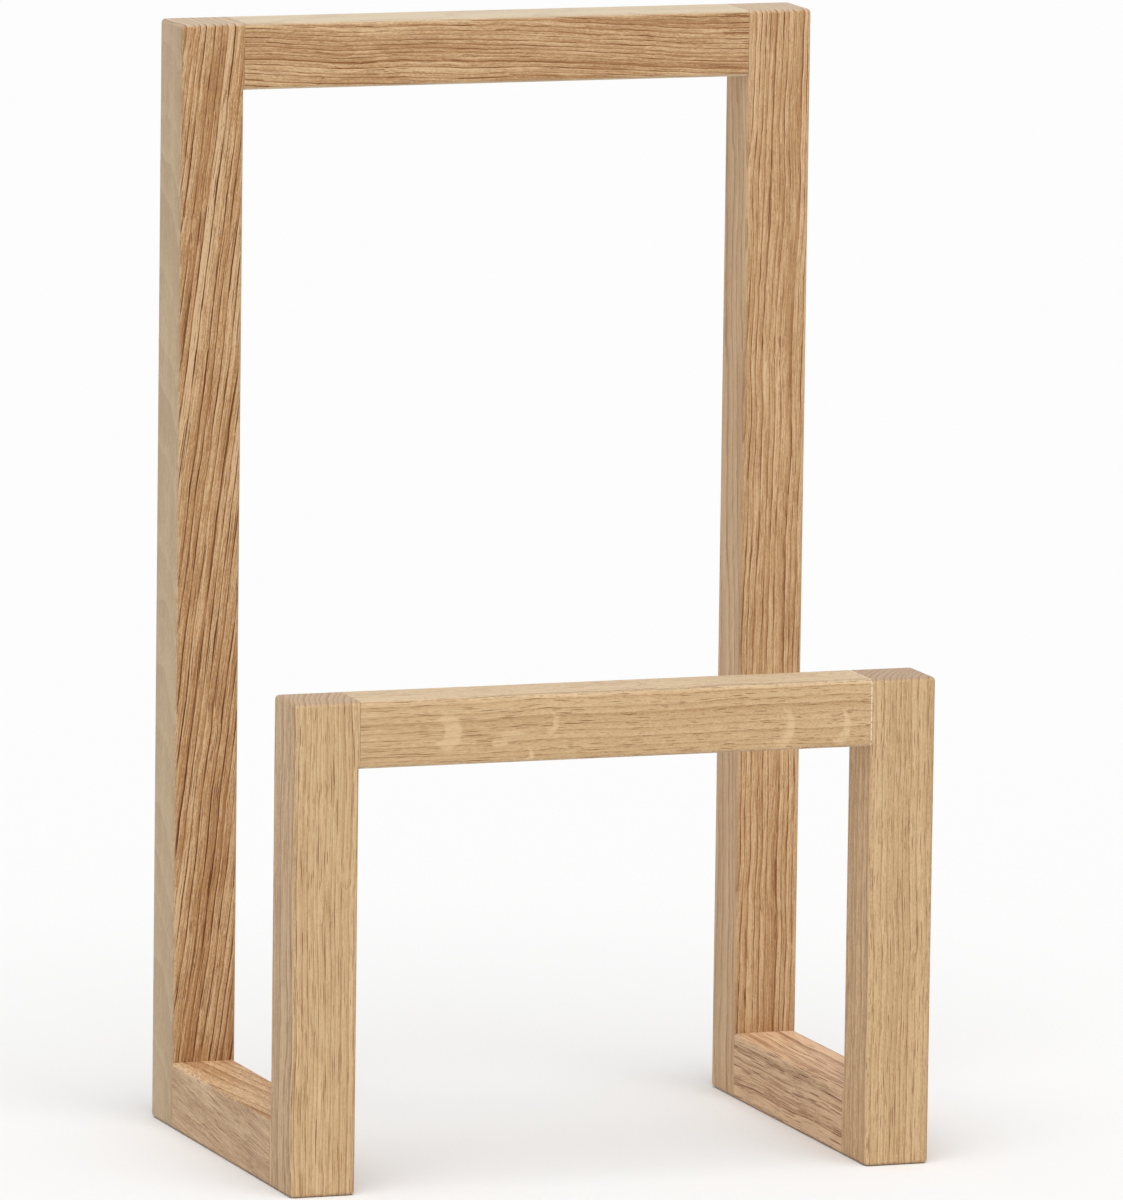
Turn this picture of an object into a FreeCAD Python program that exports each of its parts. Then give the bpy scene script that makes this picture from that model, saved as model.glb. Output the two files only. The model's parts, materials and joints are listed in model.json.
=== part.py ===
import FreeCAD, Part
import Sketcher
import os

# Magazine holder: a tall rear frame whose top rail is the carrying handle, a low
# front frame, and two runners on the floor that join the frames and carry the
# magazines. Eight square oak bars meet in butt joints, each on two hidden dowels.
# Millimetres, +Z up, front towards -Y, origin on the floor under the middle.

# Driving dimensions: value and what it measures
SIZES = {
    "overall_width": (150.0, "both frames, outside to outside, along X"),
    "overall_depth": (100.0, "front of the front frame to back of the rear frame, along Y"),
    "rear_height": (250.0, "floor to the top of the rear frame"),
    "front_height": (110.0, "floor to the top of the front frame"),
    "post_width": (15.0, "uprights, posts and runners, along X"),
    "post_depth": (15.0, "uprights, posts and rails, along Y"),
    "rail_height": (15.0, "both rails, along Z"),
    "runner_height": (15.0, "both runners, along Z"),
    "edge_radius": (1.0, "rounding of every open edge, made after the glue-up"),
    "dowel_diameter": (4.0, "dowel across its ribs"),
    "dowel_length": (20.0, "dowel end to end, half in each bar"),
    "dowel_spacing": (7.0, "centre to centre of the two dowels in a joint, along Z"),
    "dowel_chamfer": (0.5, "lead-in at both ends of a dowel"),
    "flute_diameter": (0.6, "each glue flute along a dowel"),
    "flute_count": (12, "glue flutes round a dowel"),
    "glue_gap": (0.05, "between a dowel and the wall of its hole"),
    "glue_pocket": (1.0, "between the end of a dowel and the end of its hole"),
}

# Places and lengths that several pieces share
LEFT_SIDE = "-sizes.overall_width / 2"
LEFT_JOINT = "-sizes.overall_width / 2 + sizes.post_width"
RIGHT_JOINT = "sizes.overall_width / 2 - sizes.post_width"
FRONT_SIDE = "-sizes.overall_depth / 2"
FRONT_JOINT = "-sizes.overall_depth / 2 + sizes.post_depth"
REAR_JOINT = "sizes.overall_depth / 2 - sizes.post_depth"
FLOOR = "0"
RAIL_LENGTH = "sizes.overall_width - 2 * sizes.post_width"
RUNNER_LENGTH = "sizes.overall_depth - 2 * sizes.post_depth"
HOLE_DEPTH = "(sizes.dowel_length / 2 + sizes.glue_pocket)"

# Each bar's blank: its low corner, then its size along X, Y and Z
BLANKS = {
    "rear_left_upright": (
        (LEFT_SIDE, REAR_JOINT, FLOOR),
        ("sizes.post_width", "sizes.post_depth", "sizes.rear_height"),
    ),
    "rear_right_upright": (
        (RIGHT_JOINT, REAR_JOINT, FLOOR),
        ("sizes.post_width", "sizes.post_depth", "sizes.rear_height"),
    ),
    "rear_top_rail": (
        (LEFT_JOINT, REAR_JOINT, "sizes.rear_height - sizes.rail_height"),
        (RAIL_LENGTH, "sizes.post_depth", "sizes.rail_height"),
    ),
    "front_left_post": (
        (LEFT_SIDE, FRONT_SIDE, FLOOR),
        ("sizes.post_width", "sizes.post_depth", "sizes.front_height"),
    ),
    "front_right_post": (
        (RIGHT_JOINT, FRONT_SIDE, FLOOR),
        ("sizes.post_width", "sizes.post_depth", "sizes.front_height"),
    ),
    "front_top_rail": (
        (LEFT_JOINT, FRONT_SIDE, "sizes.front_height - sizes.rail_height"),
        (RAIL_LENGTH, "sizes.post_depth", "sizes.rail_height"),
    ),
    "left_runner": (
        (LEFT_SIDE, FRONT_JOINT, FLOOR),
        ("sizes.post_width", RUNNER_LENGTH, "sizes.runner_height"),
    ),
    "right_runner": (
        (RIGHT_JOINT, FRONT_JOINT, FLOOR),
        ("sizes.post_width", RUNNER_LENGTH, "sizes.runner_height"),
    ),
}

# Dowels lie along X in the rails and along Y in the runners
UNTURNED = FreeCAD.Rotation()
ALONG_X = FreeCAD.Rotation(FreeCAD.Vector(0, 1, 0), 90)
ALONG_Y = FreeCAD.Rotation(FreeCAD.Vector(1, 0, 0), -90)


def fill_sheet(doc):
    """Write the driving dimensions into the sheet, one named cell each."""
    sheet = doc.addObject("Spreadsheet::Sheet", "sizes")
    for row, (alias, (value, meaning)) in enumerate(SIZES.items(), start=1):
        sheet.set(f"A{row}", meaning)
        sheet.set(f"B{row}", str(value))
        sheet.setAlias(f"B{row}", alias)
    doc.recompute()


def place(piece, rotation, point):
    """Turn a piece and bind its position to the sheet."""
    piece.Placement = FreeCAD.Placement(FreeCAD.Vector(), rotation)
    for axis, position in zip("xyz", point):
        piece.setExpression(f"Placement.Base.{axis}", position)


def saw_blank(doc, name, corner, size):
    """A square-edged bar, cut to length."""
    blank = doc.addObject("Part::Box", f"{name}_blank")
    for side, length in zip(("Length", "Width", "Height"), size):
        blank.setExpression(side, length)
    place(blank, UNTURNED, corner)
    return blank


def is_open_edge(solid, edge):
    """True where two faces meet at an outside corner, false in the inside of a corner."""
    first, second = solid.ancestorsOfType(edge, Part.Face)
    middle = edge.valueAt((edge.FirstParameter + edge.LastParameter) / 2)
    beside = first.normalAt(0, 0) - second.normalAt(0, 0)
    probe = middle + beside * (edge.Length / 1000)
    return not solid.isInside(probe, Part.Precision.confusion(), True)


def glue_up(doc, blanks):
    """All bars as one stand, with every open edge rounded flush across the joints."""
    stand = doc.addObject("Part::MultiFuse", "glued_stand")
    stand.Shapes = blanks
    stand.Refine = True
    doc.recompute()
    eased = doc.addObject("PartDesign::Body", "eased_stand")
    eased.BaseFeature = stand
    doc.recompute()
    square = eased.Tip
    edges = enumerate(square.Shape.Edges, start=1)
    open_edges = [f"Edge{number}" for number, edge in edges if is_open_edge(square.Shape, edge)]
    rounding = eased.newObject("PartDesign::Fillet", "edge_rounding")
    rounding.Base = (square, open_edges)
    rounding.setExpression("Radius", "sizes.edge_radius")
    doc.recompute()
    return eased


def dowel_places():
    """Each dowel's name, direction and middle point, which lies in the plane of its joint."""
    post_middle_x = "(sizes.overall_width - sizes.post_width) / 2"
    post_middle_y = "(sizes.overall_depth - sizes.post_depth) / 2"
    for level, rise in (("upper", "+ sizes.dowel_spacing / 2"), ("lower", "- sizes.dowel_spacing / 2")):
        for frame, sign in (("front", "-"), ("rear", "")):
            height = f"sizes.{frame}_height - sizes.rail_height / 2 {rise}"
            for side, joint in (("left", LEFT_JOINT), ("right", RIGHT_JOINT)):
                point = (joint, f"{sign}{post_middle_y}", height)
                yield f"{frame}_rail_{side}_{level}_dowel", ALONG_X, point
        for side, sign in (("left", "-"), ("right", "")):
            height = f"sizes.runner_height / 2 {rise}"
            for end, joint in (("front", FRONT_JOINT), ("rear", REAR_JOINT)):
                point = (f"{sign}{post_middle_x}", joint, height)
                yield f"{side}_runner_{end}_{level}_dowel", ALONG_Y, point


def drill_hole(doc, name, rotation, point):
    """The hole for one dowel, through the joint into both of its bars."""
    hole = doc.addObject("Part::Cylinder", f"{name}_hole")
    hole.setExpression("Radius", "sizes.dowel_diameter / 2 + sizes.glue_gap")
    hole.setExpression("Height", f"2 * {HOLE_DEPTH}")
    x, y, z = point
    if rotation is ALONG_X:
        x = f"{x} - {HOLE_DEPTH}"
    else:
        y = f"{y} - {HOLE_DEPTH}"
    place(hole, rotation, (x, y, z))
    return hole


def finish_bar(doc, name, eased, blank, holes):
    """One bar of the eased stand, with its dowel holes."""
    undrilled = doc.addObject("Part::Common", f"{name}_undrilled")
    undrilled.Base = eased
    undrilled.Tool = blank
    bar = doc.addObject("Part::Cut", name)
    bar.Base = undrilled
    bar.Tool = holes
    bar.Label = name
    doc.recompute()
    if not bar.Shape.Volume < undrilled.Shape.Volume:
        raise RuntimeError(f"{name} has no dowel holes")
    return bar


def sketch_circle(body, name, diameter, offset=None):
    """A circle on the body's XY plane, at its origin or set off along the X axis."""
    sketch = body.newObject("Sketcher::SketchObject", name)
    plane = next(item for item in body.Origin.OriginFeatures if item.Role == "XY_Plane")
    sketch.AttachmentSupport = [(plane, "")]
    sketch.MapMode = "FlatFace"
    start = FreeCAD.Vector(1, 0, 0) if offset else FreeCAD.Vector()
    circle = sketch.addGeometry(Part.Circle(start, FreeCAD.Vector(0, 0, 1), 1))
    size = sketch.addConstraint(Sketcher.Constraint("Diameter", circle, 2))
    sketch.setExpression(f"Constraints[{size}]", diameter)
    # Point 3 of the circle is its centre, -1 the sketch's X axis, and its point 1 the origin
    if offset:
        sketch.addConstraint(Sketcher.Constraint("PointOnObject", circle, 3, -1))
        reach = sketch.addConstraint(Sketcher.Constraint("DistanceX", -1, 1, circle, 3, 1))
        sketch.setExpression(f"Constraints[{reach}]", offset)
    else:
        sketch.addConstraint(Sketcher.Constraint("Coincident", circle, 3, -1, 1))
    return sketch


def make_dowel(doc, name, rotation, point):
    """A fluted dowel with a lead-in at both ends, middle at the plane of its joint."""
    dowel = doc.addObject("PartDesign::Body", name)
    dowel.Label = name
    rod = dowel.newObject("PartDesign::Pad", f"{name}_rod")
    rod.Profile = sketch_circle(dowel, f"{name}_section", "sizes.dowel_diameter")
    rod.SideType = "Symmetric"
    rod.setExpression("Length", "sizes.dowel_length")
    doc.recompute()
    rims = [
        f"Edge{number}"
        for number, edge in enumerate(rod.Shape.Edges, start=1)
        if isinstance(edge.Curve, Part.Circle)
    ]
    lead_in = dowel.newObject("PartDesign::Chamfer", f"{name}_lead_in")
    lead_in.Base = (rod, rims)
    lead_in.setExpression("Size", "sizes.dowel_chamfer")
    flute_section = sketch_circle(
        dowel, f"{name}_flute_section", "sizes.flute_diameter", "sizes.dowel_diameter / 2"
    )
    flute = dowel.newObject("PartDesign::Pocket", f"{name}_flute")
    flute.Profile = flute_section
    flute.Type = "ThroughAll"
    flute.SideType = "Symmetric"
    doc.recompute()
    flutes = dowel.newObject("PartDesign::PolarPattern", f"{name}_flutes")
    flutes.Originals = [flute]
    flutes.Axis = (flute_section, ["N_Axis"])
    flutes.Angle = 360
    flutes.setExpression("Occurrences", "sizes.flute_count")
    dowel.Tip = flutes
    place(dowel, rotation, point)
    doc.recompute()
    if not dowel.Shape.Volume < flute.Shape.Volume < lead_in.Shape.Volume < rod.Shape.Volume:
        raise RuntimeError(f"{name} is not chamfered and fluted")
    return dowel


def check(doc, pieces):
    """Stop if any object failed or any piece is not one sound solid."""
    for item in doc.Objects:
        if "Invalid" in item.State or "Error" in item.State:
            raise RuntimeError(f"{item.Label} failed")
    for piece in pieces:
        shape = piece.Shape
        if shape.isNull() or not shape.isValid() or len(shape.Solids) != 1:
            raise RuntimeError(f"{piece.Label} is not one sound solid")


def write(pieces):
    """Write each piece to a file of its own name."""
    os.makedirs("parts", exist_ok=True)
    for piece in pieces:
        piece.Shape.exportStep(f"parts/{piece.Label}.step")


def main():
    doc = FreeCAD.newDocument("magazine_holder")
    fill_sheet(doc)
    blanks = {name: saw_blank(doc, name, *blank) for name, blank in BLANKS.items()}
    eased = glue_up(doc, list(blanks.values()))
    places = list(dowel_places())
    holes = doc.addObject("Part::Compound", "dowel_holes")
    holes.Links = [drill_hole(doc, *dowel) for dowel in places]
    bars = [finish_bar(doc, name, eased, blank, holes) for name, blank in blanks.items()]
    dowels = [make_dowel(doc, *dowel) for dowel in places]
    doc.recompute()
    check(doc, bars + dowels)
    write(bars + dowels)


main()
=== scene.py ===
import json
import math

import bmesh
import bpy
from mathutils import Matrix, Vector

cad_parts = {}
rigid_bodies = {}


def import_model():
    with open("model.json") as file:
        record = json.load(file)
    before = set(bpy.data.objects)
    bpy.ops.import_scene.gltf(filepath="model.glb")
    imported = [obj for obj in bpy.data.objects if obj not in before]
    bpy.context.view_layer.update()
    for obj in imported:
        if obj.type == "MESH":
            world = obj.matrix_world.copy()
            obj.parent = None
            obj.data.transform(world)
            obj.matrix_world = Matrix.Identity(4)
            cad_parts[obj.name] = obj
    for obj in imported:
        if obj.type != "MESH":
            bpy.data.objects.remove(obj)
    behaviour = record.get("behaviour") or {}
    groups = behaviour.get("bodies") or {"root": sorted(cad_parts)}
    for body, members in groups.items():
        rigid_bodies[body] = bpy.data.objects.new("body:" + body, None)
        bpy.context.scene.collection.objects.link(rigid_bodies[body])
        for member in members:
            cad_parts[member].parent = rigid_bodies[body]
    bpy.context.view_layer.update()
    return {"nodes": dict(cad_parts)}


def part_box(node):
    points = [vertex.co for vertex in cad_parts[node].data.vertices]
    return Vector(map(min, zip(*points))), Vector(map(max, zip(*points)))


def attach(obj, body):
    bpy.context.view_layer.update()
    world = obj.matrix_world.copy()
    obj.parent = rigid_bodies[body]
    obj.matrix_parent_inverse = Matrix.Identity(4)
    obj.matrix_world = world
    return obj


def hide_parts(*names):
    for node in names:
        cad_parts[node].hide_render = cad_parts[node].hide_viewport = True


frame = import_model()

# Pieces of the stand, by the names of their nodes
UPRIGHTS = ("rear_left_upright", "rear_right_upright")
POSTS = ("front_left_post", "front_right_post")
RAILS = ("rear_top_rail", "front_top_rail")
RUNNERS = ("left_runner", "right_runner")
BARS = UPRIGHTS + POSTS + RAILS + RUNNERS
DOWELS = sorted(name for name in frame["nodes"] if name.endswith("_dowel"))

# Joinery, in metres
BAR_HALF = (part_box("left_runner")[1].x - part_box("left_runner")[0].x) / 2
EDGE_RADIUS = 0.001
EDGE_STEPS = 6
EDGE_PROFILE = 0.5
SEAM_CHAMFER = 0.00013
HOLE_CLEARANCE = 0.00005
HOLE_POCKET = 0.001
HOLE_SIDES = 32
TOUCH = 1e-5
SAW_TOUCH = TOUCH / 10

# Angles that tell corners, flat faces and round edges apart
CORNER_ANGLE = math.radians(30)
FLAT_ANGLE = math.radians(0.5)
SMOOTH_ANGLE = math.radians(35)
FACING_COSINE = 0.99
QUARTER_TURN = math.pi / 2


# Selecting and extruding by hand

def deselect_all():
    bpy.ops.object.select_all(action="DESELECT")


def make_active(piece):
    """Select one piece alone, ready for an operator."""
    deselect_all()
    piece.select_set(True)
    bpy.context.view_layer.objects.active = piece


def pick(kind, test):
    """In edit mode, select only the faces or the edges that pass a test."""
    bpy.ops.mesh.select_mode(type=kind)
    bpy.ops.mesh.select_all(action="DESELECT")
    mesh = bmesh.from_edit_mesh(bpy.context.edit_object.data)
    for element in mesh.faces if kind == "FACE" else mesh.edges:
        if test(element):
            element.select_set(True)
    bmesh.update_edit_mesh(bpy.context.edit_object.data)


def centred_at(face, point):
    return (face.calc_center_median() - Vector(point)).length < TOUCH


def grow(way, point, *lengths):
    """Pull out the face that looks one way and has its middle at a point, once for each length."""
    way = Vector(way)
    pick("FACE", lambda face: face.normal.dot(way) > FACING_COSINE and centred_at(face, point))
    for length in lengths:
        bpy.ops.mesh.extrude_region_move(TRANSFORM_OT_translate={"value": way * length})


def is_outside_corner(edge):
    """True for an edge where two faces meet at an outside corner."""
    return edge.is_manifold and edge.is_convex and edge.calc_face_angle(0.0) > CORNER_ANGLE


def middle(low, high):
    return (low + high) / 2


def within(point, low, high):
    """True for a point that is inside a box or on it."""
    return all(low[i] - TOUCH < point[i] < high[i] + TOUCH for i in range(3))


# The stand, glued up as one piece, eased, then parted at its joints

def glued_stand():
    """One closed loop of square bars: along the left runner, over the front, and back over the rear."""
    foot_low, upright_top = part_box("rear_left_upright")
    post_low, post_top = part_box("front_right_post")
    width = upright_top.x - foot_low.x
    depth = upright_top.y - foot_low.y
    rail_length = post_low.x - upright_top.x
    runner_length = foot_low.y - post_top.y
    runner_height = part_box("left_runner")[1].z
    rail_height = post_top.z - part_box("front_top_rail")[0].z
    front_shaft = post_top.z - runner_height - rail_height
    rear_shaft = upright_top.z - runner_height - rail_height

    left, right = foot_low.x + width / 2, post_low.x + width / 2
    front, rear = post_low.y + depth / 2, foot_low.y + depth / 2
    runner_middle = runner_height / 2
    front_middle = post_top.z - rail_height / 2
    rear_middle = upright_top.z - rail_height / 2

    block = Vector((width, depth, runner_height))
    deselect_all()
    bpy.ops.mesh.primitive_cube_add(size=1, location=foot_low + block / 2, scale=block)
    stand = bpy.context.active_object
    stand.name = "stand"
    bpy.ops.object.transform_apply(location=True, rotation=True, scale=True)
    bpy.ops.object.mode_set(mode="EDIT")
    grow((0, -1, 0), (left, foot_low.y, runner_middle), runner_length, depth)
    grow((0, 0, 1), (left, front, runner_height), front_shaft, rail_height)
    grow((1, 0, 0), (upright_top.x, front, front_middle), rail_length, width)
    grow((0, 0, -1), (right, front, post_top.z - rail_height), front_shaft, runner_height)
    grow((0, 1, 0), (right, post_top.y, runner_middle), runner_length, depth)
    grow((0, 0, 1), (right, rear, runner_height), rear_shaft, rail_height)
    grow((-1, 0, 0), (post_low.x, rear, rear_middle), rail_length)
    grow((0, 0, 1), (left, rear, runner_height), rear_shaft, rail_height)

    pick("FACE", lambda face: centred_at(face, (upright_top.x, rear, rear_middle)))
    bpy.ops.mesh.delete(type="ONLY_FACE")
    bpy.ops.mesh.select_all(action="SELECT")
    bpy.ops.mesh.remove_doubles(threshold=TOUCH)
    bpy.ops.mesh.normals_make_consistent(inside=False)
    return stand


def ease_edges():
    """Round every open edge of the glued stand, then merge the flat faces."""
    pick("EDGE", is_outside_corner)
    bpy.ops.mesh.bevel(offset=EDGE_RADIUS, segments=EDGE_STEPS, profile=EDGE_PROFILE, affect="EDGES")
    bpy.ops.mesh.select_all(action="SELECT")
    bpy.ops.mesh.dissolve_limited(angle_limit=FLAT_ANGLE)


def saw_joints():
    """Saw straight through the stand at the ends of its rails and runners."""
    for bar, across in (("rear_top_rail", (1, 0, 0)), ("left_runner", (0, 1, 0))):
        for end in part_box(bar):
            bpy.ops.mesh.select_all(action="SELECT")
            bpy.ops.mesh.bisect(plane_co=end, plane_no=across, threshold=SAW_TOUCH)


def part_bar(stand, node):
    """Take one bar off the stand, with its joints still open."""
    low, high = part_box(node)
    make_active(stand)
    bpy.ops.object.mode_set(mode="EDIT")
    pick("FACE", lambda face: within(face.calc_center_median(), low, high))
    before = set(bpy.data.objects)
    bpy.ops.mesh.separate(type="SELECTED")
    bpy.ops.object.mode_set(mode="OBJECT")
    bar = (set(bpy.data.objects) - before).pop()
    bar.name = f"{node}_oak"
    bar.data.name = bar.name
    return bar


def joints_of(node):
    """The joints of a bar: for each, its axis, its direction into the bar and its dowels."""
    low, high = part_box(node)
    joints = {}
    for dowel in DOWELS:
        dowel_low, dowel_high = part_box(dowel)
        centre = middle(dowel_low, dowel_high)
        size = dowel_high - dowel_low
        if not within(centre, low, high):
            continue
        axis = 0 if size.x > size.y else 1
        into = Vector((0, 0, 0))
        into[axis] = math.copysign(1, middle(low, high)[axis] - centre[axis])
        joint = dowel.rsplit("_", 2)[0]
        joints.setdefault(joint, (axis, into, []))[2].append((centre, size))
    return joints.values()


def on_joint(edge, axis, centre):
    """True for an edge that lies on a joint, within its square."""
    reach = [BAR_HALF + TOUCH] * 3
    reach[axis] = TOUCH
    return all(abs(corner.co[i] - centre[i]) < reach[i] for corner in edge.verts for i in range(3))


def chamfer_end(axis, into, centre):
    """Break the rim of an open end, which leaves a fine line at the joint."""
    pick("EDGE", lambda edge: edge.is_boundary and on_joint(edge, axis, centre))
    bpy.ops.transform.translate(value=into * SEAM_CHAMFER)
    bpy.ops.mesh.extrude_region_move(TRANSFORM_OT_translate={"value": -into * SEAM_CHAMFER})
    narrower = 1 - SEAM_CHAMFER / BAR_HALF
    shrink = Vector((narrower, narrower, narrower))
    shrink[axis] = 1
    bpy.ops.transform.resize(value=shrink, center_override=centre)


def close_joint(axis, into, centre, dowels):
    """Close one joint face, with a drilled hole for each dowel."""
    turn = (0, QUARTER_TURN, 0) if axis == 0 else (QUARTER_TURN, 0, 0)
    for place, size in dowels:
        bpy.ops.mesh.select_all(action="DESELECT")
        bpy.ops.mesh.primitive_circle_add(
            vertices=HOLE_SIDES,
            radius=size.z / 2 + HOLE_CLEARANCE,
            fill_type="NOTHING",
            location=place,
            rotation=turn,
        )
    pick("EDGE", lambda edge: len(edge.link_faces) < 2 and on_joint(edge, axis, centre))
    bpy.ops.mesh.fill()
    pick("EDGE", lambda edge: edge.is_boundary and on_joint(edge, axis, centre))
    depth = max(dowels[0][1]) / 2 + HOLE_POCKET
    bpy.ops.mesh.extrude_region_move(TRANSFORM_OT_translate={"value": into * depth})


def finish_bar(bar, node):
    """Close and drill the joints of a bar, then set smooth edges beside flat faces."""
    make_active(bar)
    bpy.ops.object.mode_set(mode="EDIT")
    for axis, into, dowels in joints_of(node):
        centre = middle(dowels[0][0], dowels[1][0])
        if node in RAILS + RUNNERS:
            chamfer_end(axis, into, centre)
        close_joint(axis, into, centre, dowels)
    bpy.ops.mesh.select_all(action="SELECT")
    bpy.ops.mesh.fill_holes(sides=0)
    bpy.ops.mesh.normals_make_consistent(inside=False)
    bpy.ops.object.mode_set(mode="OBJECT")
    bpy.ops.object.shade_smooth_by_angle(angle=SMOOTH_ANGLE)
    normals = bar.modifiers.new("flat_faces", "WEIGHTED_NORMAL")
    normals.keep_sharp = True
    bpy.ops.object.modifier_apply(modifier=normals.name)


def build_bars():
    """All bars of the stand as separate pieces, each riding on the frame in place of its node."""
    stand = glued_stand()
    ease_edges()
    saw_joints()
    bpy.ops.object.mode_set(mode="OBJECT")
    bars = {}
    for node in BARS:
        bar = part_bar(stand, node)
        finish_bar(bar, node)
        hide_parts(node)
        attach(bar, "root")
        bars[node] = bar
    bpy.data.objects.remove(stand)
    return bars


# Building materials from nodes

def colour(red, green, blue):
    """A colour given as it looks on a screen, from 0 to 255, turned into linear light."""
    parts = []
    for part in (red, green, blue):
        part = part / 255
        parts.append(part / 12.92 if part <= 0.04045 else ((part + 0.055) / 1.055) ** 2.4)
    return (*parts, 1)


def socket_name(name):
    """The name of a socket, from one that is written with underscores."""
    return name.replace("_", " ").title()


class Graph:
    """A node tree, written down as plain sums, noises and mixes."""

    def __init__(self, tree):
        self.tree = tree

    def feed(self, socket, value):
        """Give a socket a number, or link it to another output."""
        if isinstance(value, bpy.types.NodeSocket):
            self.tree.links.new(value, socket)
        else:
            socket.default_value = value

    def feed_all(self, sockets, **values):
        """Feed several sockets by their names."""
        for name, value in values.items():
            self.feed(sockets[socket_name(name)], value)

    def put(self, kind, inputs, **settings):
        """Add a node, set its options and feed its inputs."""
        node = self.tree.nodes.new(kind)
        for name, value in settings.items():
            setattr(node, name, value)
        for key, value in inputs.items():
            self.feed(node.inputs[key], value)
        return node

    def math(self, operation, *values, clamp=False):
        inputs = dict(enumerate(values))
        return self.put("ShaderNodeMath", inputs, operation=operation, use_clamp=clamp).outputs[0]

    def vector(self, operation, *values):
        inputs = dict(enumerate(values))
        node = self.put("ShaderNodeVectorMath", inputs, operation=operation)
        return node.outputs["Value"] if operation in ("LENGTH", "DOT_PRODUCT") else node.outputs[0]

    def join(self, x, y, z):
        return self.put("ShaderNodeCombineXYZ", {0: x, 1: y, 2: z}).outputs[0]

    def split(self, vector):
        return self.put("ShaderNodeSeparateXYZ", {0: vector}).outputs

    def noise(self, vector, detail=2.0, roughness=0.5):
        inputs = {"Vector": vector, "Scale": 1.0, "Detail": detail, "Roughness": roughness}
        return self.put("ShaderNodeTexNoise", inputs).outputs

    def cells(self, vector):
        return self.put("ShaderNodeTexVoronoi", {"Vector": vector, "Scale": 1.0}).outputs

    def scaled(self, place, waves, shift):
        """A place for a noise, with its own number of waves for each millimetre."""
        return self.vector("ADD", self.vector("MULTIPLY", place, waves), shift)

    def ramp(self, value, low, high, to_low=0.0, to_high=1.0):
        """Move a value smoothly from one range into another, held at both ends."""
        inputs = {"Value": value, "From Min": low, "From Max": high, "To Min": to_low, "To Max": to_high}
        return self.put("ShaderNodeMapRange", inputs, interpolation_type="SMOOTHSTEP").outputs[0]

    def fall(self, value, low, high):
        """Fall smoothly from one to nothing over a range."""
        return self.ramp(value, low, high, 1.0, 0.0)

    def mix(self, factor, first, second):
        inputs = {0: factor, 6: first, 7: second}
        return self.put("ShaderNodeMix", inputs, data_type="RGBA").outputs[2]


def new_group(name, inputs, outputs):
    """An empty shader group with named inputs and outputs."""
    tree = bpy.data.node_groups.new(name, "ShaderNodeTree")
    for labels, way in ((inputs, "INPUT"), (outputs, "OUTPUT")):
        for label, kind in labels.items():
            tree.interface.new_socket(name=label, in_out=way, socket_type=f"NodeSocket{kind}")
    given = tree.nodes.new("NodeGroupInput").outputs
    result = tree.nodes.new("NodeGroupOutput").inputs
    return Graph(tree), given, result


def new_material(name):
    material = bpy.data.materials.new(name)
    material.use_nodes = True
    tree = material.node_tree
    return material, Graph(tree), tree.nodes["Principled BSDF"]


# Oak figure: places are in millimetres, with the third axis along the grain

MILLIMETRES = 1000.0
NOISE_MIDDLE = 0.5

# Growth rings: how unevenly the years follow each other, and when the porous wood starts and stops
YEAR_WAVES = 0.45
YEAR_REACH = 2.2
YEAR_SLICE = 3.7
EARLY_FULL = 0.15
EARLY_FADES = 0.38


def growth_rings():
    """Growth rings around the middle of the tree, each porous where it starts."""
    graph, given, result = new_group(
        "growth_rings",
        {"Place": "Vector", "Pith": "Vector", "Ring Width": "Float", "Early Share": "Float",
         "Waver": "Float", "Seed": "Float"},
        {"Place": "Vector", "Season": "Float", "Early": "Float", "Ring Tone": "Float",
         "Radius": "Float", "Around": "Float"},
    )
    shift = graph.join(given["Seed"], 0.0, given["Seed"])

    def wander(waves, detail, reach):
        """A push across the grain, up to a reach in millimetres."""
        noise = graph.noise(graph.scaled(given["Place"], waves, shift), detail)
        push = graph.vector("SUBTRACT", noise["Color"], [NOISE_MIDDLE] * 3)
        return graph.vector("MULTIPLY", push, reach)

    bend = wander(waves=(0.06, 0.06, 0.028), detail=1.0, reach=(4, 4, 0))
    shake = wander(waves=(0.3, 0.3, 0.16), detail=2.0, reach=(0.7, 0.7, 0))
    waver = graph.join(given["Waver"], given["Waver"], 0.0)
    sway = graph.vector("MULTIPLY", graph.vector("ADD", bend, shake), waver)
    place = graph.vector("ADD", given["Place"], sway)
    across = graph.split(graph.vector("SUBTRACT", place, given["Pith"]))
    radius = graph.vector("LENGTH", graph.join(across[0], across[1], 0.0))
    years = graph.math("DIVIDE", radius, given["Ring Width"])
    weather = graph.join(graph.math("MULTIPLY", years, YEAR_WAVES), given["Seed"], YEAR_SLICE)
    uneven = graph.math("MULTIPLY", graph.noise(weather, detail=1.0)[0], YEAR_REACH)
    years = graph.math("ADD", years, uneven)
    season = graph.math("FRACT", years)
    spring = graph.math("DIVIDE", season, given["Early Share"])
    fading = graph.fall(spring, EARLY_FADES, 1.0)
    early = graph.math("MULTIPLY", graph.ramp(spring, 0.0, EARLY_FULL), fading)
    count = graph.math("ADD", graph.math("FLOOR", years), given["Seed"])
    tone = graph.put("ShaderNodeTexWhiteNoise", {"W": count}, noise_dimensions="1D").outputs["Value"]
    angle = graph.math("ARCTAN2", across[1], across[0])
    around = graph.math("MULTIPLY", angle, graph.vector("LENGTH", given["Pith"]))
    graph.feed_all(result, place=place, season=season, early=early, ring_tone=tone)
    graph.feed_all(result, radius=radius, around=around)
    return graph.tree


# Pores: the smallest one's reach, how much larger others are, and their soft rims
PORE_LEAST = 0.45
PORE_VARIETY = 0.75
PORE_RIM = 0.3
PORE_RIM_LEAST = 0.01
PORE_SHIFT = 1.3


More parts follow.
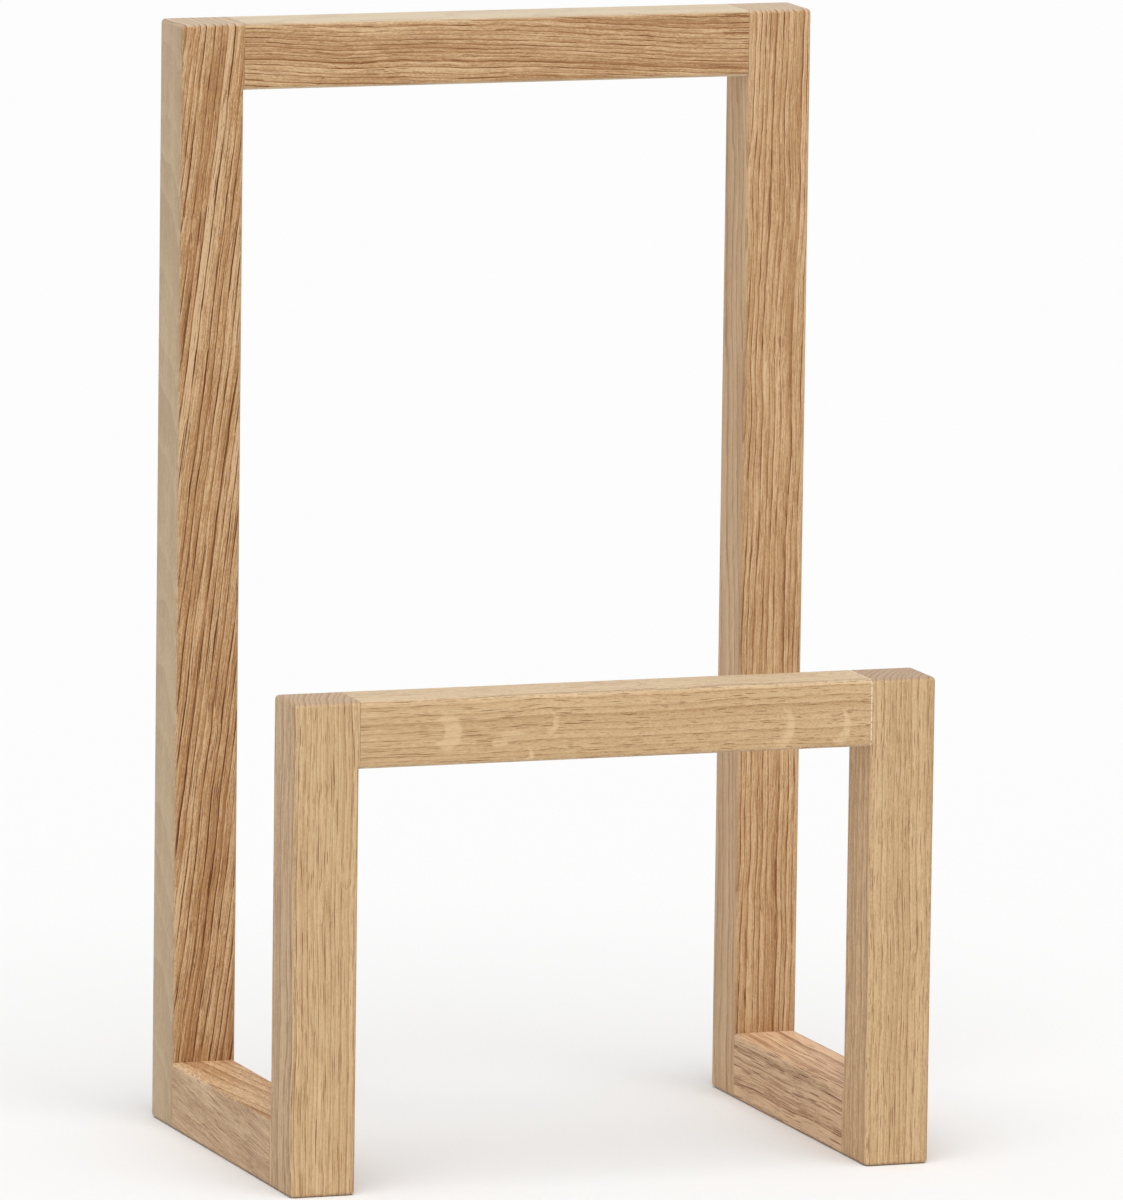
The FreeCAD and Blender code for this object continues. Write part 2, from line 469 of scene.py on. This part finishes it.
def open_pores():
    """Long thin pores, cut open by the surface, crowded where a ring is porous."""
    graph, given, result = new_group(
        "open_pores",
        {"Place": "Vector", "Early": "Float", "Spacing": "Float", "Length": "Float", "Size": "Float",
         "Spread": "Float", "Seed": "Float"},
        {"Pores": "Float"},
    )
    size = graph.join(given["Spacing"], given["Spacing"], given["Length"])
    shift = graph.join(given["Seed"], PORE_SHIFT, 0.0)
    cell = graph.cells(graph.vector("ADD", graph.vector("DIVIDE", given["Place"], size), shift))
    chance = graph.split(cell["Color"])[0]
    gathered = graph.math("SUBTRACT", 1.0, given["Spread"])
    crowd = graph.math("MULTIPLY_ADD", given["Early"], gathered, given["Spread"])
    reach = graph.math("MULTIPLY", graph.math("MULTIPLY_ADD", chance, PORE_VARIETY, PORE_LEAST), crowd)
    reach = graph.math("MULTIPLY", reach, given["Size"])
    inside = graph.math("SUBTRACT", reach, cell["Distance"])
    rim = graph.math("MULTIPLY_ADD", reach, PORE_RIM, PORE_RIM_LEAST)
    graph.feed_all(result, pores=graph.math("DIVIDE", inside, rim, clamp=True))
    return graph.tree


# Rays: their spacing around the tree, and where a fleck's edge starts and ends
RAY_SPACING = 1.1
RAY_EDGE = (0.26, 0.36)


def ray_flecks():
    """Thin sheets that run from the middle of the tree outward, and show as pale flecks."""
    graph, given, result = new_group(
        "ray_flecks",
        {"Radius": "Float", "Around": "Float", "Along": "Float", "Depth": "Float", "Height": "Float",
         "Seed": "Float"},
        {"Rays": "Float"},
    )
    place = graph.join(
        graph.math("DIVIDE", given["Around"], RAY_SPACING),
        graph.math("DIVIDE", given["Radius"], given["Depth"]),
        graph.math("DIVIDE", given["Along"], given["Height"]),
    )
    cell = graph.cells(graph.vector("ADD", place, graph.join(given["Seed"], 0.0, given["Seed"])))
    graph.feed_all(result, rays=graph.fall(cell["Distance"], *RAY_EDGE))
    return graph.tree


def fibres():
    """Long threads and short flecks along the grain, and slow changes of tone."""
    graph, given, result = new_group(
        "fibres",
        {"Place": "Vector", "Short Share": "Float", "Seed": "Float"},
        {"Fibre": "Float", "Tone": "Float"},
    )
    shift = graph.join(0.0, given["Seed"], given["Seed"])

    def streaks(waves, roughness):
        return graph.noise(graph.scaled(given["Place"], waves, shift), roughness=roughness)[0]

    threads = streaks(waves=(3.4, 3.4, 0.07), roughness=0.6)
    flecks = streaks(waves=(4.2, 4.2, 1.3), roughness=0.6)
    tone = streaks(waves=(0.22, 0.22, 0.02), roughness=0.5)
    long_share = graph.math("SUBTRACT", 1.0, given["Short Share"])
    threads = graph.math("MULTIPLY", threads, long_share)
    fibre = graph.math("MULTIPLY_ADD", flecks, given["Short Share"], threads)
    graph.feed_all(result, fibre=fibre, tone=tone)
    return graph.tree


# Crescents: where the outer edge and the edge of the bite start and end, in half sizes
CRESCENT_EDGE = (0.78, 1.04)
BITE_EDGE = (0.75, 1.1)


def pale_crescent():
    """One pale crescent on the front of a rail, where a ray lies flat in the surface."""
    graph, given, result = new_group(
        "pale_crescent",
        {"Place": "Vector", "Centre": "Vector", "Size": "Vector", "Bite": "Vector",
         "Bite Size": "Float"},
        {"Mask": "Float"},
    )
    offset = graph.vector("SUBTRACT", given["Place"], given["Centre"])
    inner = graph.vector("DIVIDE", offset, given["Size"])
    bitten = graph.vector("LENGTH", graph.vector("SUBTRACT", inner, given["Bite"]))
    bitten = graph.math("DIVIDE", bitten, given["Bite Size"])
    moon = graph.fall(graph.vector("LENGTH", inner), *CRESCENT_EDGE)
    gap = graph.ramp(bitten, *BITE_EDGE)
    graph.feed_all(result, mask=graph.math("MULTIPLY", moon, gap))
    return graph.tree


# How much each part of the figure lightens or darkens the wood
PLAIN_LIGHT = 0.57
RING_TONE_LIGHT = 0.2
SEASON_LIGHT = 0.22
EARLY_LIGHT = -0.2
EARLY_END_LIGHT = -0.5
FIBRE_LIGHT = 1.9
CRESCENT_LIGHT = 0.37
PALE_PORE_LOSS = -3.0

# End grain: how dark the rings are, and how much of it covers the figure
END_SEASON = 0.38
END_EARLY = 0.2
END_COVER = 0.85

# Surface: the least roughness, what the fibres add to it, and the heights of fibres and pores
ROUGHNESS = 0.46
FIBRE_ROUGHNESS = 0.25
FIBRE_HEIGHT = 0.35
PORE_HEIGHT = -1.0


def oak_colours():
    """The colour, roughness and height of oak from its figure, with painted sheen and shade in the
    colour of its quiet sides.
    """
    figure = (
        "Season", "Early", "Ring Tone", "Pores", "Vessels", "Rays", "Fibre", "Tone", "Crescents", "End",
        "Figure", "Ring Share", "Pore Share", "Side Share",
        "Contrast", "Tone Strength", "Vessel Strength", "Ray Strength",
    )
    shades = ("Pale", "Middle", "Dark", "Pore", "Side", "End Grain")
    graph, given, result = new_group(
        "oak_colours",
        {**{label: "Float" for label in figure}, **{label: "Color" for label in shades}},
        {"Color": "Color", "Roughness": "Float", "Height": "Float"},
    )

    def swing(label, amount):
        """A part of the figure, lighter above its middle and darker below."""
        return graph.math("MULTIPLY", graph.math("SUBTRACT", given[label], NOISE_MIDDLE), amount)

    porous = graph.math("MULTIPLY_ADD", given["End"], EARLY_END_LIGHT, EARLY_LIGHT)
    rings = graph.math("ADD", swing("Ring Tone", RING_TONE_LIGHT), swing("Season", SEASON_LIGHT))
    rings = graph.math("MULTIPLY_ADD", given["Early"], porous, rings)
    rings = graph.math("MULTIPLY", rings, given["Ring Share"])
    threads = graph.math("ADD", swing("Tone", given["Tone Strength"]), swing("Fibre", FIBRE_LIGHT))
    light = graph.math("MULTIPLY_ADD", threads, given["Figure"], rings)
    light = graph.math("MULTIPLY", light, given["Contrast"])
    pale = graph.math("MULTIPLY", given["Rays"], given["Ray Strength"])
    pale = graph.math("MULTIPLY_ADD", given["Crescents"], CRESCENT_LIGHT, pale)
    light = graph.math("ADD", graph.math("ADD", light, PLAIN_LIGHT), pale)
    lower_half = graph.math("MULTIPLY", light, 2.0, clamp=True)
    upper_half = graph.math("MULTIPLY_ADD", light, 2.0, -1.0, clamp=True)
    wood = graph.mix(lower_half, given["Dark"], given["Middle"])
    wood = graph.mix(upper_half, wood, given["Pale"])
    # On the quiet faces the wood turns toward the side colour: partly the plainer wood there, partly
    # painted sheen and shade for how light falls on tops and sides
    wood = graph.mix(given["Side Share"], wood, given["Side"])
    vessels = graph.math("MULTIPLY", given["Vessels"], given["Vessel Strength"])
    pores = graph.math("MULTIPLY", graph.math("MAXIMUM", given["Pores"], vessels), given["Pore Share"])
    clear = graph.math("MULTIPLY_ADD", pale, PALE_PORE_LOSS, 1.0, clamp=True)
    pores = graph.math("MULTIPLY", pores, clear)
    wood = graph.mix(pores, wood, given["Pore"])
    arcs = graph.math("MULTIPLY_ADD", given["Season"], -END_SEASON, END_SEASON)
    arcs = graph.math("MULTIPLY_ADD", given["Early"], END_EARLY, arcs)
    arcs = graph.mix(arcs, given["End Grain"], given["Pore"])
    wood = graph.mix(graph.math("MULTIPLY", given["End"], END_COVER), wood, arcs)
    roughness = graph.math("MULTIPLY_ADD", given["Fibre"], FIBRE_ROUGHNESS, ROUGHNESS)
    sunken = graph.math("MULTIPLY", pores, PORE_HEIGHT)
    height = graph.math("MULTIPLY_ADD", given["Fibre"], FIBRE_HEIGHT, sunken)
    graph.feed_all(result, color=wood, roughness=roughness, height=height)
    return graph.tree


GROUPS = {
    make.__name__: make()
    for make in (growth_rings, open_pores, ray_flecks, fibres, pale_crescent, oak_colours)
}


def use(graph, group, **inputs):
    """Put a shared group into a material."""
    node = graph.put("ShaderNodeGroup", {}, node_tree=GROUPS[group])
    graph.feed_all(node.inputs, **inputs)
    return node.outputs


# Oak bars

AXES = {"X": (1, 0, 0), "Y": (0, 1, 0), "Z": (0, 0, 1)}
GRAIN_TURNS = {"X": (0, QUARTER_TURN, 0), "Y": (-QUARTER_TURN, 0, 0), "Z": (0, 0, 0)}
FACING_EDGE = (0.2, 0.98)
VESSEL_SPREAD = 0.75
VESSEL_SEED = 0.5
CRESCENT_DEPTH = 2
BUMP_STRENGTH = 0.2
BUMP_DEPTH = 0.0001
OIL_GLOSS = 0.3

# Glue pressed out of a joint: its edge in millimetres from the end of the rail, its beads and its colour
GLUE_EDGE = (0.45, 0.3)
GLUE_WAVES = (1.2, 1.2, 0.0)
GLUE_DETAIL = 3.0
GLUE_ROUGHNESS = 0.75
BEAD_EDGE = (0.36, 0.52)
BEAD_COVER = 0.95
JOINT_SHADE = 0.35
GLUE_COLOUR = colour(244, 227, 195)

# Looks that go straight into the colours of the oak
PLAIN_LOOKS = (
    "contrast", "tone_strength", "vessel_strength", "ray_strength",
    "pale", "middle", "dark", "pore", "side", "end_grain",
)


def wood_place(graph, centre=(0, 0, 0), turn=(0, 0, 0)):
    """Places in the wood, in millimetres from a centre, with the third axis turned along the grain."""
    return graph.put(
        "ShaderNodeMapping",
        {
            "Vector": graph.tree.nodes.new("ShaderNodeTexCoord").outputs["Object"],
            "Location": centre,
            "Rotation": turn,
            "Scale": [1 / MILLIMETRES] * 3,
        },
        vector_type="TEXTURE",
    ).outputs[0]


def facing_mask(graph, facing, axis):
    """White where the surface faces along an axis, either way."""
    share = graph.math("ABSOLUTE", graph.vector("DOT_PRODUCT", facing, AXES[axis]))
    return graph.ramp(share, *FACING_EDGE)


def crescent_mask(graph, place, crescents):
    """All the pale crescents of a bar in one mask."""
    mask = 0.0
    for along, up, wide, high, bite_along, bite_up, bite_size in crescents:
        crescent = use(
            graph, "pale_crescent",
            place=place,
            centre=(-up, -BAR_HALF * MILLIMETRES, along),
            size=(high / 2, CRESCENT_DEPTH, wide / 2),
            bite=(-bite_up, 0, bite_along),
            bite_size=bite_size,
        )
        mask = graph.math("MAXIMUM", mask, crescent["Mask"])
    return mask


def glue_line(graph, node, place, look, wood):
    """A dark joint at the far end of a rail, with a broken pale line of glue pressed out of it."""
    low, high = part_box(node)
    end = (high - low)["XYZ".index(look["along"])] / 2 * MILLIMETRES
    line = graph.ramp(graph.split(place)[2], *(end - edge for edge in GLUE_EDGE))
    beads = graph.noise(graph.vector("MULTIPLY", place, GLUE_WAVES), GLUE_DETAIL, GLUE_ROUGHNESS)[0]
    glue = graph.math("MULTIPLY", line, graph.ramp(beads, *BEAD_EDGE, 0.0, BEAD_COVER))
    wood = graph.mix(graph.math("MULTIPLY", line, JOINT_SHADE), wood, look["pore"])
    return graph.mix(glue, wood, GLUE_COLOUR)


def oak(node, look):
    """Solid oak for one bar, with its own cut of the tree, and painted sheen and shade in its side
    colour.
    """
    material, graph, shader = new_material(f"oak_{node}")
    seed = look["seed"]
    turn = [GRAIN_TURNS[look["along"]][i] + math.radians(look["slope"][i]) for i in range(3)]
    place = wood_place(graph, middle(*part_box(node)), turn)
    across, deep, length = graph.split(place)
    squeezed = graph.math("MULTIPLY", graph.math("MULTIPLY", length, length), look["shortening"])
    grain = graph.join(across, deep, graph.math("ADD", length, squeezed))
    rings = use(
        graph, "growth_rings", place=grain, pith=look["pith"], ring_width=look["ring_width"],
        early_share=look["early_share"], waver=look["waver"], seed=seed,
    )
    pores = use(
        graph, "open_pores", place=rings["Place"], early=rings["Early"], spacing=look["pore_spacing"],
        length=look["pore_length"], size=look["pore_size"], spread=look["pore_spread"], seed=seed,
    )
    vessels = use(
        graph, "open_pores", place=rings["Place"], early=rings["Early"], spacing=look["vessel_spacing"],
        length=look["vessel_length"], size=look["vessel_size"], spread=VESSEL_SPREAD,
        seed=seed + VESSEL_SEED,
    )
    rays = use(
        graph, "ray_flecks", radius=rings["Radius"], around=rings["Around"], along=length,
        depth=look["ray_depth"], height=look["ray_height"], seed=seed,
    )
    threads = use(graph, "fibres", place=rings["Place"], short_share=look["short_share"], seed=seed)
    facing = graph.put("ShaderNodeNewGeometry", {}).outputs["Normal"]
    sideways = facing_mask(graph, facing, look["quiet_side"])

    def on_side(share):
        """A share that holds on the quiet sides alone."""
        return graph.math("MULTIPLY_ADD", sideways, share - 1, 1.0)

    wood = use(
        graph, "oak_colours",
        season=rings["Season"], early=rings["Early"], ring_tone=rings["Ring Tone"],
        pores=pores["Pores"], vessels=vessels["Pores"], rays=rays["Rays"],
        fibre=threads["Fibre"], tone=threads["Tone"],
        crescents=crescent_mask(graph, place, look["crescents"]),
        end=facing_mask(graph, facing, look["along"]),
        figure=on_side(look["side_figure"]),
        ring_share=on_side(look["side_rings"]),
        pore_share=on_side(look["side_pores"]),
        # The side colour's share, which paints sheen and shade on the quiet faces along with their
        # plainer wood
        side_share=graph.math("MULTIPLY", sideways, look["side_share"]),
        **{name: look[name] for name in PLAIN_LOOKS},
    )
    paint = wood["Color"]
    if look["glue_line"]:
        paint = glue_line(graph, node, place, look, paint)
    bump = graph.put(
        "ShaderNodeBump", {"Height": wood["Height"], "Strength": BUMP_STRENGTH, "Distance": BUMP_DEPTH},
    )
    graph.feed_all(shader.inputs, base_color=paint, roughness=wood["Roughness"], normal=bump.outputs[0])
    shader.inputs["Specular IOR Level"].default_value = OIL_GLOSS
    return material


# What the bars share: lengths in millimetres, slopes in degrees, the pith seen from the bar's centre
BASE_LOOK = {
    "along": "Z",
    "slope": (0, 0, 0),
    "shortening": 0.0,
    "pith": (70, 8, 0),
    "early_share": 0.32,
    "waver": 0.5,
    "pore_spacing": 0.28,
    "pore_length": 20.0,
    "pore_size": 0.55,
    "pore_spread": 0.3,
    "vessel_spacing": 0.26,
    "vessel_length": 6.0,
    "vessel_size": 0.4,
    "vessel_strength": 0.35,
    "short_share": 0.35,
    "ray_depth": 6.0,
    "ray_height": 9.0,
    "ray_strength": 0.05,
    "crescents": (),
    "glue_line": False,
    "contrast": 1.35,
    "tone_strength": 0.6,
    "quiet_side": "X",
    "side_figure": 1.0,
    "side_rings": 1.0,
    "side_pores": 0.5,
    "side_share": 0.4,
    "pale": colour(221, 187, 145),
    "middle": colour(190, 150, 106),
    "dark": colour(157, 111, 69),
    "pore": colour(124, 74, 36),
    # Side colour: the plainer wood of the quiet faces, with painted sheen and shade
    "side": colour(194, 168, 134),
    "end_grain": colour(205, 185, 159),
}

# The paler, quieter oak of the front frame, with painted shade on its end grain
FRONT_LOOK = {
    "pore_size": 0.3,
    "pore_spread": 0.95,
    "vessel_size": 0.32,
    "vessel_strength": 0.6,
    "contrast": 1.1,
    "tone_strength": 0.3,
    "side_figure": 4.5,
    "side_rings": 4.5,
    "side_pores": 1.5,
    "pale": colour(221, 189, 147),
    "middle": colour(199, 165, 122),
    "dark": colour(172, 134, 92),
    "pore": colour(132, 90, 53),
    # End grain darker than the rear bars': painted shade on the tops of the front posts
    "end_grain": colour(185, 160, 133),
}

# Crescents: along, up, width and height in millimetres, then the bite's place and size in half sizes
FRONT_RAIL_CRESCENTS = (
    (-39.7, 0.0, 7.0, 9.0, -0.62, 0.0, 0.5),
    (-24.8, -1.0, 7.5, 1.1, -1.6, 0.0, 0.6),
    (-27.7, -3.1, 4.4, 1.4, -1.6, 0.0, 0.6),
    (-15.8, 1.0, 4.4, 5.4, -0.5, 0.2, 0.95),
    (-21.4, -6.0, 4.0, 3.8, -0.5, 0.3, 0.95),
    (38.6, -2.3, 6.6, 9.8, -0.5, 0.3, 0.97),
    (52.2, -2.6, 5.8, 9.0, -0.5, 0.3, 0.97),
)

# Each bar's own cut of the tree, with painted sheen and shade in its side colour and painted shade on
# the front end grain; side rings below zero show pale instead of dark
LOOKS = {
    "rear_left_upright": {
        "seed": 3.1, "slope": (0, 7, 0), "ring_width": 1.75, "early_share": 0.26,
        "pore_spacing": 0.3, "pore_length": 28.0, "pore_size": 0.74, "pore_spread": 0.35,
        "short_share": 0.4, "contrast": 1.75,
        "side_figure": 1.6, "side_rings": -1.1, "side_pores": 0.1, "side_share": 0.65,
        "pale": colour(215, 181, 140), "middle": colour(182, 139, 93),
        # Side colour with painted sheen, greyer than the wood
        "pore": colour(94, 48, 12), "side": colour(186, 168, 138),
    },
    "rear_right_upright": {
        "seed": 7.7, "slope": (0, 1, 0), "pith": (64, 30, 0), "ring_width": 1.3, "waver": 0.8,
    },
    "rear_top_rail": {
        "seed": 5.3, "along": "X", "slope": (0, 2, 0), "ring_width": 1.05, "waver": 0.8,
        "pore_spacing": 0.25, "pore_spread": 0.45, "short_share": 0.45, "quiet_side": "Z",
        "side_figure": 1.1, "side_rings": 0.3, "side_pores": 0.2, "side_share": 0.65,
        # Side colour of the top: pale and grey, a painted sheen over the wood
        "middle": colour(185, 145, 102), "pore": colour(122, 72, 34), "side": colour(210, 201, 177),
    },
    "front_left_post": {
        **FRONT_LOOK, "seed": 11.9, "pith": (50, -19, 0), "ring_width": 1.25,
        "pore_length": 18.0, "pore_size": 0.38, "pore_spread": 0.7, "vessel_length": 7.0,
        # Side colour with painted shade, darker than the wood
        "side": colour(182, 157, 126),
    },
    "front_right_post": {
        **FRONT_LOOK, "seed": 13.3, "pith": (52, -34, 0), "ring_width": 1.4,
        "pore_length": 11.0, "vessel_length": 5.0, "short_share": 0.45, "contrast": 1.15,
        # Side colour with painted sheen and shade; end grain darkened by painted shade on the top
        "side_share": 0.35, "side": colour(207, 171, 130), "end_grain": colour(174, 150, 126),
    },
    "front_top_rail": {
        **FRONT_LOOK, "seed": 17.1, "along": "X", "shortening": 0.0047, "pith": (-90, 6, 0),
        "ring_width": 1.7, "pore_length": 8.0, "vessel_length": 3.0, "short_share": 0.65,
        "crescents": FRONT_RAIL_CRESCENTS, "glue_line": True, "quiet_side": "Z",
        "side_figure": 3.8, "side_rings": 3.8, "side_pores": 1.3, "side_share": 0.38,
        # Side colour of the top with painted sheen and shade
        "middle": colour(202, 168, 126), "dark": colour(180, 143, 101), "side": colour(184, 173, 150),
    },
    "left_runner": {
        "seed": 19.7, "along": "Y", "slope": (6, 0, 0), "pith": (60, 44, 0), "ring_width": 2.4,
        "pore_spacing": 0.26, "pore_length": 14.0, "pore_size": 0.3, "pore_spread": 0.9,
        "vessel_length": 7.0, "vessel_size": 0.34, "vessel_strength": 0.5,
        "side_figure": 1.7, "side_rings": 0.35, "side_pores": 1.0,
        # Side colour with painted sheen and shade
        "pale": colour(226, 192, 153), "pore": colour(122, 76, 46), "side": colour(192, 168, 140),
    },
    "right_runner": {
        "seed": 23.9, "along": "Y", "pith": (52, 48, 0), "ring_width": 1.9,
        "pore_spacing": 0.34, "pore_length": 26.0, "pore_size": 0.4, "pore_spread": 0.75,
        "vessel_length": 11.0, "short_share": 0.25,
        "side_figure": 1.5, "side_pores": 1.1, "side_share": 0.2,
        "pale": colour(228, 193, 155), "middle": colour(211, 172, 135), "pore": colour(118, 66, 38),
    },
}


# Beech dowels

BEECH_PALE = colour(222, 190, 152)
BEECH_DARK = colour(196, 158, 120)
BEECH_SHORT_SHARE = 0.6
BEECH_SEED = 2.0
BEECH_ROUGHNESS = 0.6


def beech():
    """Pale beech for the hidden dowels, with fine short flecks."""
    material, graph, shader = new_material("beech")
    threads = use(
        graph, "fibres", place=wood_place(graph), short_share=BEECH_SHORT_SHARE, seed=BEECH_SEED,
    )
    paint = graph.mix(threads["Fibre"], BEECH_PALE, BEECH_DARK)
    graph.feed_all(shader.inputs, base_color=paint)
    shader.inputs["Roughness"].default_value = BEECH_ROUGHNESS
    return material


def dress(bars):
    """Give each bar its oak and each dowel its beech."""
    for node, bar in bars.items():
        bar.data.materials.clear()
        bar.data.materials.append(oak(node, {**BASE_LOOK, **LOOKS[node]}))
    dowel_wood = beech()
    for dowel in DOWELS:
        for slot in bpy.data.objects[dowel].material_slots:
            slot.material = dowel_wood


# The studio: floor, white surround, soft light and camera

FLOOR_SIZE = 60
FLOOR_PAPER = (0.86, 0.86, 0.86, 1)
WHITE = (1, 1, 1, 1)
SURROUND_LIGHT = 0.62
KEY_LIGHT_PLACE = Vector((-0.2, -0.84, 2.08))
KEY_LIGHT_STRENGTH = 1.77
KEY_LIGHT_SOFTNESS = math.radians(50)
VIEW_AZIMUTH = math.radians(19.64)
VIEW_ELEVATION = math.radians(8.72)
VIEW_ROLL = math.radians(0.75)
VIEW_DISTANCE = 3.0773
VIEW_AIM = Vector((0.00422, 0, 0.12261))
VIEW_LIMIT = 100
SENSOR_WIDTH = 36
LENS_LENGTH = 412.84


def lay_floor():
    """A wide pale floor that keeps the shadow."""
    deselect_all()
    bpy.ops.mesh.primitive_plane_add(size=FLOOR_SIZE)
    floor = bpy.context.active_object
    floor.name = "floor"
    material, graph, shader = new_material("floor_paper")
    graph.tree.nodes.remove(shader)
    matt = graph.put("ShaderNodeBsdfDiffuse", {"Color": FLOOR_PAPER})
    graph.feed_all(graph.tree.nodes["Material Output"].inputs, surface=matt.outputs[0])
    floor.data.materials.append(material)


def hang_surround():
    """A white surround: full white where it is seen, softer where it lights the wood."""
    world = bpy.data.worlds.new("white_surround")
    bpy.context.scene.world = world
    world.use_nodes = True
    graph = Graph(world.node_tree)
    rays = graph.tree.nodes.new("ShaderNodeLightPath").outputs
    seen = graph.math("ADD", rays["Is Camera Ray"], rays["Is Glossy Ray"])
    seen = graph.math("ADD", seen, rays["Is Transmission Ray"], clamp=True)
    strength = graph.math("MULTIPLY_ADD", seen, 1 - SURROUND_LIGHT, SURROUND_LIGHT)
    graph.feed_all(graph.tree.nodes["Background"].inputs, color=WHITE, strength=strength)


def hang_key_light():
    """A broad soft light from far away, so that the floor is lit evenly."""
    lamp = bpy.data.lights.new("key_light", "SUN")
    lamp.energy = KEY_LIGHT_STRENGTH
    lamp.angle = KEY_LIGHT_SOFTNESS
    light = bpy.data.objects.new("key_light", lamp)
    bpy.context.scene.collection.objects.link(light)
    light.location = KEY_LIGHT_PLACE
    light.rotation_euler = (-KEY_LIGHT_PLACE).to_track_quat("-Z", "Y").to_euler()


def place_camera():
    """The camera of the picture: far off, slightly to the left and above, with a long lens."""
    ahead = Vector((
        math.sin(VIEW_AZIMUTH) * math.cos(VIEW_ELEVATION),
        math.cos(VIEW_AZIMUTH) * math.cos(VIEW_ELEVATION),
        -math.sin(VIEW_ELEVATION),
    ))
    level = Vector((math.cos(VIEW_AZIMUTH), -math.sin(VIEW_AZIMUTH), 0))
    upward = level.cross(ahead)
    right = level * math.cos(VIEW_ROLL) + upward * math.sin(VIEW_ROLL)
    up = upward * math.cos(VIEW_ROLL) - level * math.sin(VIEW_ROLL)
    lens = bpy.data.cameras.new("camera")
    lens.sensor_width = SENSOR_WIDTH
    lens.lens = LENS_LENGTH
    lens.clip_end = VIEW_LIMIT
    camera = bpy.data.objects.new("camera", lens)
    bpy.context.scene.collection.objects.link(camera)
    turn = Matrix((right, up, -ahead)).transposed()
    camera.matrix_world = Matrix.Translation(VIEW_AIM - ahead * VIEW_DISTANCE) @ turn.to_4x4()
    bpy.context.scene.camera = camera


dress(build_bars())
lay_floor()
hang_surround()
hang_key_light()
place_camera()
bpy.context.scene.view_settings.view_transform = "Standard"
